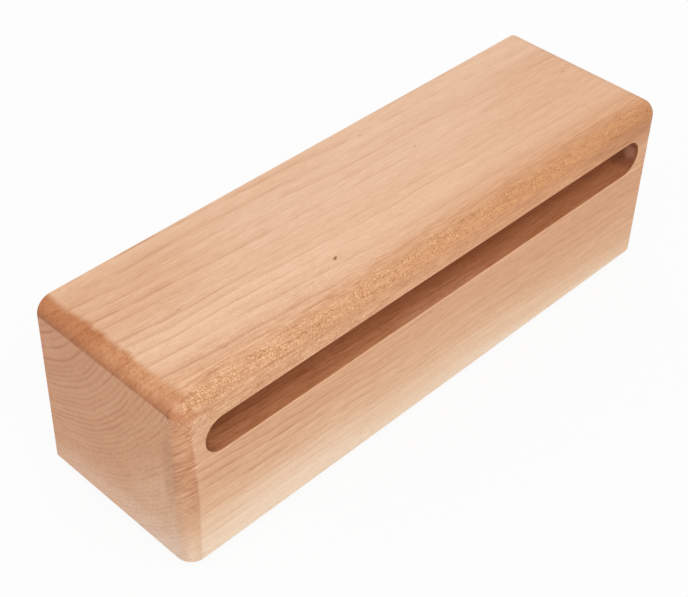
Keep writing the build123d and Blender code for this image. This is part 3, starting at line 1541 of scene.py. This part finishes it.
@dataclass
class RubberFeet(Hardware):
    """Four moulded feet that narrow to a rounded tread, each with a cup below for its washer and screw."""

    slot: str = "foot_rubber"
    sides: int = 72
    tread_radius: float = 5.7 * MM
    tread_round: float = 0.75 * MM
    mould_round: float = 0.2 * MM
    cup_radius: float = 3.75 * MM
    bore_radius: float = 1.5 * MM

    def build(self, material: bpy.types.Material) -> list[bpy.types.Object]:
        """Makes one piece for each foot.

        Args:
            material: The rubber.

        Returns:
            The four pieces.
        """
        sizes = {foot: self._sizes(foot) for foot in Foot}
        tree = self._tree(list(sizes[Foot.FRONT_LEFT]))
        pieces = []
        for foot in Foot:
            name = f"{foot.value}_moulding"
            piece = self.grown(name, tree, sizes[foot], [foot.centre()], material)
            pieces.append(handed_over(piece, foot.value))
        return pieces

    def _sizes(self, foot: Foot) -> dict[str, float]:
        """Lists all sizes of one foot.

        Args:
            foot: The foot.

        Returns:
            Its lengths and heights, by name.
        """
        low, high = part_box(foot.value)
        return {
            **self.lengths(),
            "Body Radius": (high.x - low.x) / 2,
            "Height": high.z,
            "Wood Line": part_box(WOOD)[0].z,
            "Cup Top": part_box(WasherSet.node)[1].z,
        }

    @staticmethod
    def _tree(sizes: Sequence[str]) -> bpy.types.NodeTree:
        """Draws a foot's section as a ring round its bore.

        Args:
            sizes: Names of the foot's sizes.

        Returns:
            The geometry tree.
        """
        sketch = TreeSketch.hardware("moulded_foot", sizes)
        size = sketch.source
        outline = [
            Corner(size["Cup Radius"], 0.0, size["Mould Round"]),
            Corner(size["Tread Radius"], 0.0, size["Tread Round"]),
        ]
        for radius, height in (
            ("Body Radius", "Wood Line"), ("Body Radius", "Height"), ("Bore Radius", "Height"),
            ("Bore Radius", "Cup Top"), ("Cup Radius", "Cup Top"),
        ):
            outline.append(Corner(size[radius], size[height], size["Mould Round"]))
        return sketch.placed(sketch.turned(outline, closed=True))


@dataclass
class WasherSet(Hardware):
    """Four flat washers with lightly tumbled edges, one in the cup of each foot."""

    node: ClassVar[str] = "foot_washers"
    name: str = "plated_washers"
    slot: str = "washer_steel"
    sides: int = 64
    bore_radius: float = 1.5 * MM
    edge_round: float = 0.12 * MM

    def build(self, material: bpy.types.Material) -> bpy.types.Object:
        """Makes the washers as one piece.

        Args:
            material: The plated steel.

        Returns:
            The piece.
        """
        low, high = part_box(self.node)
        radius = high.x - Foot.FRONT_RIGHT.centre().x
        sizes = {**self.lengths(), "Radius": radius, "Bottom": low.z, "Top": high.z}
        places = [foot.centre() for foot in Foot]
        piece = self.grown(self.name, self._tree(list(sizes)), sizes, places, material)
        return handed_over(piece, self.node)

    @staticmethod
    def _tree(sizes: Sequence[str]) -> bpy.types.NodeTree:
        """Draws a washer's section as a ring round its bore.

        Args:
            sizes: Names of the washer's sizes.

        Returns:
            The geometry tree.
        """
        sketch = TreeSketch.hardware("flat_washer", sizes)
        size = sketch.source
        outline = [
            Corner(size[radius], size[height], size["Edge Round"])
            for radius, height in (
                ("Bore Radius", "Bottom"), ("Radius", "Bottom"), ("Radius", "Top"), ("Bore Radius", "Top"),
            )
        ]
        return sketch.placed(sketch.turned(outline, closed=True))


@dataclass
class ScrewSet(Hardware):
    """Four pan-head wood screws with a cross recess and a cut thread, one up through each foot."""

    node: ClassVar[str] = "foot_screws"
    driver_taper: ClassVar[float] = 0.45
    driver_overlap: ClassVar[float] = 0.02 * MM
    thread_steps: ClassVar[int] = 24
    thread_sides: ClassVar[int] = 3
    thread_start_swell: ClassVar[Fade] = (0.0, 0.12, 0.1, 1.0)
    thread_end_swell: ClassVar[Fade] = (1.0, 0.85, 0.1, 1.0)
    name: str = "plated_screws"
    slot: str = "screw_steel"
    sides: int = 48
    head_flat: float = 1.9 * MM
    head_rim: float = 1.0 * MM
    head_round: float = 0.9 * MM
    core_radius: float = 1.2 * MM
    tip_radius: float = 0.25 * MM
    point_length: float = 2.2 * MM
    thread_pitch: float = 1.25 * MM
    thread_depth: float = 0.4 * MM
    driver_span: float = 3.4 * MM
    driver_blade: float = 0.8 * MM
    driver_depth: float = 1.1 * MM

    def build(self, material: bpy.types.Material) -> bpy.types.Object:
        """Makes the screws as one piece.

        Args:
            material: The plated steel.

        Returns:
            The piece.
        """
        low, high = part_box(self.node)
        sizes = {
            **self.lengths(),
            "Head Radius": high.x - Foot.FRONT_RIGHT.centre().x,
            "Bottom": low.z,
            "Seat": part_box(WasherSet.node)[0].z,
            "End": high.z,
            "Thread Start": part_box(Foot.FRONT_RIGHT.value)[1].z + self.thread_depth,
        }
        places = [foot.centre() for foot in Foot]
        piece = self.grown(self.name, self._tree(list(sizes)), sizes, places, material)
        return handed_over(piece, self.node)

    def _tree(self, sizes: Sequence[str]) -> bpy.types.NodeTree:
        """Draws a screw: a turned body, less its cross recess, with a ridge wound round its core.

        Args:
            sizes: Names of the screw's sizes.

        Returns:
            The geometry tree.
        """
        sketch = TreeSketch.hardware("wood_screw", sizes)
        size = sketch.source
        shoulder = sketch.minus(size["End"], size["Point Length"])
        body = sketch.turned((
            Corner(0.0, size["Bottom"]),
            Corner(size["Head Flat"], size["Bottom"], size["Head Round"]),
            Corner(size["Head Radius"], sketch.plus(size["Bottom"], size["Head Rim"]), size["Head Round"]),
            Corner(size["Head Radius"], size["Seat"]),
            Corner(size["Core Radius"], size["Seat"]),
            Corner(size["Core Radius"], shoulder),
            Corner(size["Tip Radius"], size["End"]),
            Corner(0.0, size["End"]),
        ), closed=False)
        cut = sketch.node("GeometryNodeMeshBoolean", operation="DIFFERENCE", solver="EXACT")
        sketch.feed(cut.inputs["Mesh 1"], body)
        for blade in self._blades(sketch):
            sketch.feed(cut.inputs["Mesh 2"], blade)
        joined = sketch.node("GeometryNodeMeshBoolean", operation="UNION", solver="EXACT")
        for shape in (cut.outputs["Mesh"], self._ridge(sketch, shoulder)):
            sketch.feed(joined.inputs["Mesh 2"], shape)
        return sketch.placed(joined.outputs["Mesh"])

    def _blades(self, sketch: TreeSketch) -> list[Socket]:
        """Makes the two crossed blades of a driver, which narrow as they go in.

        Args:
            sketch: The screw's tree.

        Returns:
            Both meshes.
        """
        size = sketch.source
        half = sketch.product(size["Driver Depth"], 0.5)
        block = sketch.wired("GeometryNodeMeshCube", {
            "Size": sketch.vector(size["Driver Span"], size["Driver Blade"], size["Driver Depth"]),
        })["Mesh"]
        x, y, z = sketch.split(sketch.node("GeometryNodeInputPosition").outputs[0])
        narrow = sketch.ramp(z, sketch.product(half, -1.0), half, 1.0, self.driver_taper)
        height = sketch.plus(z, size["Bottom"], half, -self.driver_overlap)
        blade = sketch.wired("GeometryNodeSetPosition", {
            "Geometry": block, "Position": sketch.vector(sketch.product(x, narrow), y, height),
        })["Geometry"]
        crossed = sketch.wired("GeometryNodeTransform", {
            "Geometry": blade, "Rotation": (0.0, 0.0, math.pi / 2),
        })["Geometry"]
        return [blade, crossed]

    def _ridge(self, sketch: TreeSketch, shoulder: Socket) -> Socket:
        """Winds the thread's ridge up the core, run out to nothing at both ends.

        Args:
            sketch: The screw's tree.
            shoulder: Where the core starts to narrow to its point.

        Returns:
            The ridge.
        """
        size = sketch.source
        climb = sketch.minus(shoulder, size["Thread Start"])
        helix = sketch.wired("GeometryNodeCurveSpiral", {
            "Resolution": self.thread_steps, "Rotations": sketch.math("DIVIDE", climb, size["Thread Pitch"]),
            "Start Radius": size["Core Radius"], "End Radius": size["Core Radius"], "Height": climb,
            "Reverse": True,
        })["Curve"]
        upright = sketch.wired("GeometryNodeSetCurveNormal", {"Curve": helix}, mode="Z_UP")["Curve"]
        way = sketch.node("GeometryNodeSplineParameter").outputs["Factor"]
        section = sketch.wired("GeometryNodeCurvePrimitiveCircle", {
            "Resolution": self.thread_sides, "Radius": size["Thread Depth"],
        })["Curve"]
        swell = sketch.product(
            sketch.ramp(way, *self.thread_start_swell), sketch.ramp(way, *self.thread_end_swell),
        )
        ridge = sketch.wired("GeometryNodeCurveToMesh", {
            "Curve": upright, "Profile Curve": section, "Scale": swell, "Fill Caps": True,
        })["Mesh"]
        lift = sketch.vector(0.0, 0.0, size["Thread Start"])
        return sketch.wired("GeometryNodeTransform", {"Geometry": ridge, "Translation": lift})["Geometry"]


@dataclass(frozen=True)
class Lamp:
    """One square softbox that faces the block, in metres and watts."""

    name: str
    place: Point
    size: float
    power: float


@dataclass
class Studio:
    """Pale floor, soft light and the camera at the photograph's viewing angle."""

    floor_reach: float = 3.0
    floor_colour: Colour = (0.92, 0.92, 0.92, 1.0)
    shadow_share: float = 0.09
    sky: float = 0.62
    camera_place: Point = (-0.272391, -0.244767, 0.336755)
    camera_aim: Point = (-0.015475, -0.002415, 0.032)
    camera_roll: float = math.radians(1.83)
    camera_nearest: float = 0.01
    picture_width: int = 688
    focal_pixels: float = 1497.68
    sensor: float = 36.0
    lamps: Sequence[Lamp] = (
        Lamp("key_softbox", (-0.2, -0.75, 0.95), 0.9, 4.6),
        Lamp("side_softbox", (-1.1, 0.25, 0.5), 0.9, 2.2),
        Lamp("back_softbox", (0.3, 1.1, 0.5), 0.9, 2.0),
    )

    def build(self) -> None:
        """Sets up the stage, the light and the camera."""
        bpy.context.scene.view_settings.view_transform = "Standard"
        self._floor()
        self._world()
        for lamp in self.lamps:
            self._lamp(lamp)
        self._camera()

    def _floor(self) -> None:
        """Lays a pale floor that the camera sees as white from above, apart from the block's soft shadow."""
        reach = self.floor_reach
        corners = [(-reach, -reach, 0), (reach, -reach, 0), (reach, reach, 0), (-reach, reach, 0)]
        mesh = bpy.data.meshes.new("floor")
        mesh.from_pydata(corners, [], [(0, 1, 2, 3)])
        floor = placed_object("floor", mesh)
        material, sketch = NodeSketch.material("pale_floor")
        matt = sketch.wired("ShaderNodeBsdfDiffuse", {"Color": self.floor_colour})[0]
        white = sketch.wired("ShaderNodeEmission", {"Color": WHITE, "Strength": 1.0})[0]
        share = sketch.product(self._plainly_seen(sketch), 1 - self.shadow_share)
        lit = sketch.wired("ShaderNodeMixShader", {0: share, 1: matt, 2: white})[0]
        clear = sketch.node("ShaderNodeBsdfTransparent").outputs[0]
        from_below = sketch.node("ShaderNodeNewGeometry").outputs["Backfacing"]
        shader = sketch.wired("ShaderNodeMixShader", {0: from_below, 1: lit, 2: clear})[0]
        sketch.wired("ShaderNodeOutputMaterial", {"Surface": shader})
        mesh.materials.append(material)

    def _world(self) -> None:
        """Gives even light from all round, and a white background to the camera."""
        world = bpy.data.worlds.new("studio")
        world.use_nodes = True
        world.node_tree.nodes.clear()
        bpy.context.scene.world = world
        sketch = NodeSketch(world.node_tree)
        strength = sketch.eased(self._plainly_seen(sketch), self.sky, 1.0)
        light = sketch.wired("ShaderNodeBackground", {"Color": WHITE, "Strength": strength})
        sketch.wired("ShaderNodeOutputWorld", {"Surface": light["Background"]})

    @staticmethod
    def _plainly_seen(sketch: NodeSketch) -> Socket:
        """Tells the rays that show the background: from the camera, off metal and through glass.

        Args:
            sketch: The floor's or the world's nodes.

        Returns:
            One for such a ray, zero for the others.
        """
        path = sketch.node("ShaderNodeLightPath").outputs
        rays = [path[f"Is {kind} Ray"] for kind in ("Camera", "Glossy", "Transmission")]
        return reduce(partial(sketch.math, "MAXIMUM"), rays)

    @staticmethod
    def _lamp(lamp: Lamp) -> None:
        """Hangs one softbox and turns it to the block.

        Args:
            lamp: The softbox.
        """
        data = bpy.data.lights.new(lamp.name, "AREA")
        data.size = lamp.size
        data.energy = lamp.power
        made = placed_object(lamp.name, data)
        made.location = lamp.place
        made.rotation_euler = (-Vector(lamp.place)).to_track_quat("-Z", "Y").to_euler()

    def _camera(self) -> None:
        """Sets the camera."""
        data = bpy.data.cameras.new("camera")
        data.sensor_width = self.sensor
        data.lens = self.focal_pixels * self.sensor / self.picture_width
        data.clip_start = self.camera_nearest
        camera = placed_object("camera", data)
        ahead = Vector(self.camera_aim) - Vector(self.camera_place)
        turn = ahead.to_track_quat("-Z", "Y") @ Quaternion((0, 0, 1), self.camera_roll)
        camera.matrix_world = Matrix.Translation(self.camera_place) @ turn.to_matrix().to_4x4()
        bpy.context.scene.camera = camera


def main() -> None:
    """Builds every piece and the studio round it."""
    logging.basicConfig(level=logging.INFO, format="%(message)s")
    effects = SharedEffects()
    body = MapleBody()
    sanded, routed = (
        MaplePainter(finish, effects, LogFigure(), EdgeWear(), body.edge_round).painted()
        for finish in (SANDED_MAPLE, ROUTED_SHADED_MAPLE)
    )
    pieces = [
        body.build(sanded, routed),
        *RubberFeet().build(RubberFinish().material(effects)),
        WasherSet().build(WASHER_ZINC.material(effects)),
        ScrewSet().build(SCREW_ZINC.material(effects)),
    ]
    for piece in pieces:
        log.info("piece %s: %d faces", piece.name, len(piece.data.polygons))
    Studio().build()


if __name__ == "__main__":
    main()
